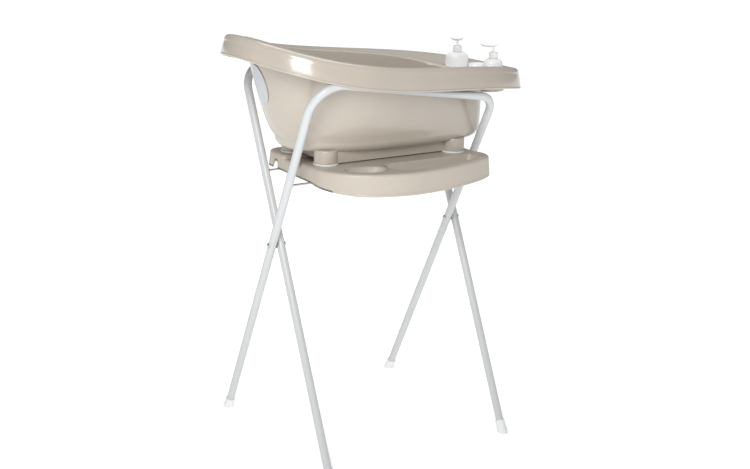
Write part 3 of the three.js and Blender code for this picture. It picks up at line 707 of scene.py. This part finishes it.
def tray_underside(points):
    """Height of the side wall's lower edge: low in front, raised behind, arched over rod B."""
    rest = ROD_Z + ROD_R + 1.4
    y = points[:, 1]
    t = np.clip((y - SIDE_LOW_UNTIL) / (SIDE_RAISED_FROM - SIDE_LOW_UNTIL), 0, 1)
    low = np.maximum(TRAY_BOTTOM, TRAY_BOTTOM + (rest - TRAY_BOTTOM) * t)
    arch = np.clip(1 - ((y - ROD_Y) / NOTCH_R) ** 2, 0, None)
    return np.where(np.abs(y - ROD_Y) < NOTCH_R, NOTCH_Z + NOTCH_R * np.sqrt(arch), low)


def add_tray():
    """The tray in one skin, from its deck over the edge, down the side and back inside."""
    outline = tray_outline()
    flat = np.column_stack([outline, np.full(len(outline), float(TRAY_TOP))])
    centre = np.array([-20.0, -60.0])
    side_top = TRAY_TOP - tray_depth(outline + (centre - outline) * 0.02)
    low = tray_underside(outline)
    beaded = np.clip((low - TRAY_BOTTOM) / 3, 0, 1)

    def flare(z):
        return np.clip((TRAY_TOP - 8 - z) / (TRAY_TOP - 8 - TRAY_BOTTOM - 6), 0, 1) * (TRAY_FLARE - 1.6)

    deck_edge = offset_ring(flat, -TRAY_EDGE_R, TRAY_TOP)
    deck = []
    for t in np.linspace(0, 1, 84):
        plan = centre + (deck_edge[:, :2] - centre) * max(t, 0.002)
        deck.append(np.column_stack([plan, TRAY_TOP - tray_depth(plan)]))
    rings = list(deck)
    for angle in np.radians(np.arange(15, 91, 15)):
        rings.append(offset_ring(flat, -TRAY_EDGE_R + TRAY_EDGE_R * math.sin(angle),
                                 side_top - TRAY_EDGE_R * (1 - math.cos(angle))))
    for t in np.linspace(0.12, 1, 9):
        z = side_top - TRAY_EDGE_R + (low + 7 * (1 - beaded) - side_top + TRAY_EDGE_R) * t
        rings.append(offset_ring(flat, flare(z), z))
    bulge = (1 - beaded) * 1.6
    for angle in np.radians(np.arange(60, -91, -30)):
        z = low + 2.6 + 2.6 * math.sin(angle)
        rings.append(offset_ring(flat, flare(z) + bulge * math.cos(angle), z))
    for t in np.linspace(0, 1, 6):
        z = low + (side_top - WALL - 6 - low) * t
        rings.append(offset_ring(flat, flare(z) - WALL, z))
    for ring in deck[::-1]:
        plan = centre + (ring[:, :2] - centre) * 0.985
        rings.append(np.column_stack([plan, ring[:, 2] - WALL]))
    add_piece("tray_moulding", *skin(rings), "tray", "tray", ["tray"], 40)
    for end, x in zip(("head", "foot"), CLIPS):
        add_clip_and_hook(end, x)


def add_clip_and_hook(end, x):
    """Ribs under the deck: one snaps round rod A from above, the other rests over rod B."""
    under = TRAY_TOP - WALL
    x0, x1 = x - CLIP_HALF, x + CLIP_HALF
    rib = box_rings(x0, x1, -ROD_Y - 8.5, -ROD_Y + 8.5, ROD_Z - 8, under, 1.5, 0.8)
    clip = add_piece(f"tray_clip_{end}", *skin(rib), "tray", "tray")
    bore_r = ROD_R + GAP
    bore = turned([(0, -CUT_REACH), (bore_r, -CUT_REACH), (bore_r, CUT_REACH), (0, CUT_REACH)], 0.1, 40)
    cut(clip, *skin(moved(bore, x, -ROD_Y, ROD_Z, ALONG_X)))
    mouth = box_rings(x - CUT_REACH, x + CUT_REACH, -ROD_Y - 2.4, -ROD_Y + 2.4,
                      ROD_Z - 12, ROD_Z, 0.4, 0.2)
    cut(clip, *skin(mouth))
    finish_mesh(clip)
    rib = box_rings(x0, x1, ROD_Y - 11.5, ROD_Y + 11.5, ROD_Z + ROD_R + 0.4, under, 1.5, 0.8)
    add_piece(f"tray_hook_{end}", *skin(rib), "tray", "tray")


# ---------------------------------------------------------------- bottles and dish
def add_bottle(name, b):
    """An oval bottle with a ribbed collar, and the stem and domed head that press down."""
    low = b["floor"] + GAP
    top = low + b["body"]
    wide, deep = b["wide"], b["deep"]
    line = [(wide * 0.9, deep * 0.9, low + 0.6), (wide * 0.97, deep * 0.97, low + 0.8),
            (wide, deep, low + 4), (wide, deep, top - 20), (wide * 0.96, deep * 0.96, top - 11),
            (wide * 0.84, deep * 0.84, top - 4.5), (wide * 0.62, deep * 0.66, top - 0.8),
            (24.4, 24.4, top), (19, 19, top + 0.2), (19, 19, top + 4.5)]
    rings = [oval_ring(b["x"], b["y"], w, d, z) for w, d, z in rounded(line, 5, 6)]
    add_piece(f"bottle_{name}_body", *skin(rings), f"bottle_{name}", "bottle", [f"bottle_{name}"], 40)

    low = top + 0.8
    collar = [(9.8, low), (12.6, low), (12.6, low + 14.5), (11.4, low + 16.4), (7.6, low + 17.4),
              (6.6, low + 18), (3.6, low + 18), (3.6, low + 11), (9.8, low + 10)]
    rings = moved(turned(collar, 0.7, 144, 24, 0.5), b["x"], b["y"])
    add_piece(f"pump_collar_{name}_ribbed", *skin(rings, "loop"), f"bottle_{name}", "bottle",
              [f"pump_collar_{name}"])

    stem = top + 13
    high = stem + PUMP_RISE
    hub_r = 5.4
    shaft = [(0, stem), (3.3, stem), (3.3, high - 4), (hub_r, high - 3), (hub_r, high + 0.6),
             (0, high + 0.6)]
    rings = moved(turned(shaft, 0.5), b["x"], b["y"])
    add_piece(f"pump_stem_{name}", *skin(rings), f"pump_{name}", "bottle")
    shift = -b["head"] * b["nose"]
    x, y = b["x"] + shift * math.cos(BOTTLE_TURN), b["y"] + shift * math.sin(BOTTLE_TURN)
    lens = [(0.02, -5), (0.3, -4.8), (0.7, -2.6), (0.97, 0.6), (1, 1.8), (0.97, 3.2), (0.7, 4.9),
            (0.4, 5.8), (0.02, 6)]
    rings = [oval_ring(x, y, b["head"] * s, 20 * s, high + z) for s, z in rounded(lens, 0.6, 5)]
    add_piece(f"pump_head_{name}_disc", *skin(rings), f"pump_{name}", "bottle",
              [f"pump_head_{name}"], 45)


def add_dish():
    """A white cup with a thick base, and the soap that lies in it."""
    x, y, wide, deep = (DISH[k] for k in ("x", "y", "wide", "deep"))
    low = DISH["floor"] + GAP
    high = DISH["floor"] + GAP + DISH["height"]
    base = low + DISH["thick"]
    line = [(1.6, low), (0, low + 1.6), (0, high - 1.6), (0.8, high), (1.9, high),
            (2.5, high - 1.4), (2.5, base)]
    rings = [oval_ring(x, y, 0.5, 0.3, low)]
    rings += [oval_ring(x, y, wide - 2 * i, deep - 2 * i, z) for i, z in line]
    rings.append(oval_ring(x, y, 0.5, 0.3, base))
    add_piece("soap_dish_cup", *skin(rings), "soap_dish", "bottle", ["soap_dish"])

    low = DISH["floor"] + DISH["thick"] + 2 * GAP
    line = [(0.02, 0), (0.93, 0), (1, 2.5), (1, 7.5), (0.9, 9.6), (0.5, 10.8), (0.02, 11)]
    rings = [oval_ring(x, y, (wide - 6.4) * s, (deep - 6.4) * s, low + z)
             for s, z in rounded(line, 1.2)]
    add_piece("soap_bar_rounded", *skin(rings), "soap_dish", "soap", ["soap_bar"])


# ---------------------------------------------------------------- studio
# Places and sizes of the lamps and the camera are in metres, powers in watts.
LIGHTS = (
    ("key", (-1.65, -1.85, 2.0), (0.95, 1.25), 46),
    ("top", (0.3, 0.5, 3.4), (2.2, 1.6), 36),
    ("fill", (2.6, -2.2, 1.6), (2.0, 2.0), 3),
)
LIGHTS_AIM = (-0.3, -0.15, 1.05)
FLOOR_HALF = 40
FLOOR_GLOW = {"From Min": 0.7, "From Max": 2.2, "To Min": 0.5, "To Max": 0.8}  # metres away to strength
CAMERA = {"place": (-1.63855, -2.4397, 1.44337), "yaw": 33.82, "pitch": -16.8, "roll": 1.64,
          "lens": 53.03}


def add_light(name, place, size, power):
    """A rectangular lamp that faces the object and isn't seen itself."""
    lamp = bpy.data.lights.new(name, "AREA")
    lamp.shape, lamp.size, lamp.size_y = "RECTANGLE", *size
    lamp.energy = power
    obj = bpy.data.objects.new(name, lamp)
    obj.location = place
    obj.rotation_euler = (Vector(LIGHTS_AIM) - Vector(place)).to_track_quat("-Z", "Y").to_euler()
    obj.visible_camera = False
    bpy.context.scene.collection.objects.link(obj)


def add_floor():
    """White paper that glows more away from the object, where the lamps no longer reach it."""
    h = FLOOR_HALF
    mesh = bpy.data.meshes.new("studio_floor")
    mesh.from_pydata([(-h, -h, 0), (h, -h, 0), (h, h, 0), (-h, h, 0)], [], [(0, 1, 2, 3)])
    floor = bpy.data.objects.new("studio_floor", mesh)
    floor.location.z = -0.0005
    bpy.context.scene.collection.objects.link(floor)
    paper = surface("studio_paper", (0.9, 0.9, 0.9), 0.9, tone=0.004, patch=1, bump=0.02)
    nodes, links = paper.node_tree.nodes, paper.node_tree.links
    shader = nodes["Principled BSDF"]
    shader.inputs["Emission Color"].default_value = (1, 1, 1, 1)
    distance, glow = nodes.new("ShaderNodeVectorMath"), nodes.new("ShaderNodeMapRange")
    distance.operation = "LENGTH"
    links.new(nodes["Texture Coordinate"].outputs["Object"], distance.inputs[0])
    links.new(distance.outputs["Value"], glow.inputs["Value"])
    for key, number in FLOOR_GLOW.items():
        glow.inputs[key].default_value = number
    links.new(glow.outputs["Result"], shader.inputs["Emission Strength"])
    mesh.materials.append(paper)


def add_world():
    """A white backdrop to the camera, and a dimmer, slightly blue sky to everything else."""
    world = bpy.data.worlds.new("studio")
    world.use_nodes = True
    nodes, links = world.node_tree.nodes, world.node_tree.links
    shown, lit = nodes["Background"], nodes.new("ShaderNodeBackground")
    shown.inputs["Color"].default_value = (1, 1, 1, 1)
    shown.inputs["Strength"].default_value = 1.05
    lit.inputs["Color"].default_value = (0.97, 0.985, 1, 1)
    lit.inputs["Strength"].default_value = 0.3
    path, choice = nodes.new("ShaderNodeLightPath"), nodes.new("ShaderNodeMixShader")
    links.new(path.outputs["Is Camera Ray"], choice.inputs["Fac"])
    links.new(lit.outputs["Background"], choice.inputs[1])
    links.new(shown.outputs["Background"], choice.inputs[2])
    links.new(choice.outputs["Shader"], nodes["World Output"].inputs["Surface"])
    bpy.context.scene.world = world


def add_studio():
    """Floor, backdrop and lamps."""
    add_floor()
    add_world()
    for name, place, size, power in LIGHTS:
        add_light(name, place, size, power)
    bpy.context.scene.view_settings.view_transform = "Standard"


def add_camera():
    """The photo's camera, from its place, heading, pitch and roll."""
    yaw, pitch, roll = (math.radians(CAMERA[k]) for k in ("yaw", "pitch", "roll"))
    flat = math.cos(pitch)
    forward = Vector((math.sin(yaw) * flat, math.cos(yaw) * flat, math.sin(pitch)))
    right = Vector((math.cos(yaw), -math.sin(yaw), 0))
    up = right.cross(forward)
    c, s = math.cos(roll), math.sin(roll)
    right, up = right * c + up * s, up * c - right * s
    data = bpy.data.cameras.new("camera")
    data.lens, data.sensor_width = CAMERA["lens"], 36
    camera = bpy.data.objects.new("camera", data)
    rotation = Matrix((right, up, -forward)).transposed()
    camera.matrix_world = Matrix.Translation(CAMERA["place"]) @ rotation.to_4x4()
    bpy.context.scene.collection.objects.link(camera)
    bpy.context.scene.camera = camera


for letter, side in (("a", 1), ("b", -1)):
    add_frame(letter, side)
add_pivots()
add_tub()
add_tray()
for name, bottle in BOTTLES.items():
    add_bottle(name, bottle)
add_dish()
add_studio()
add_camera()
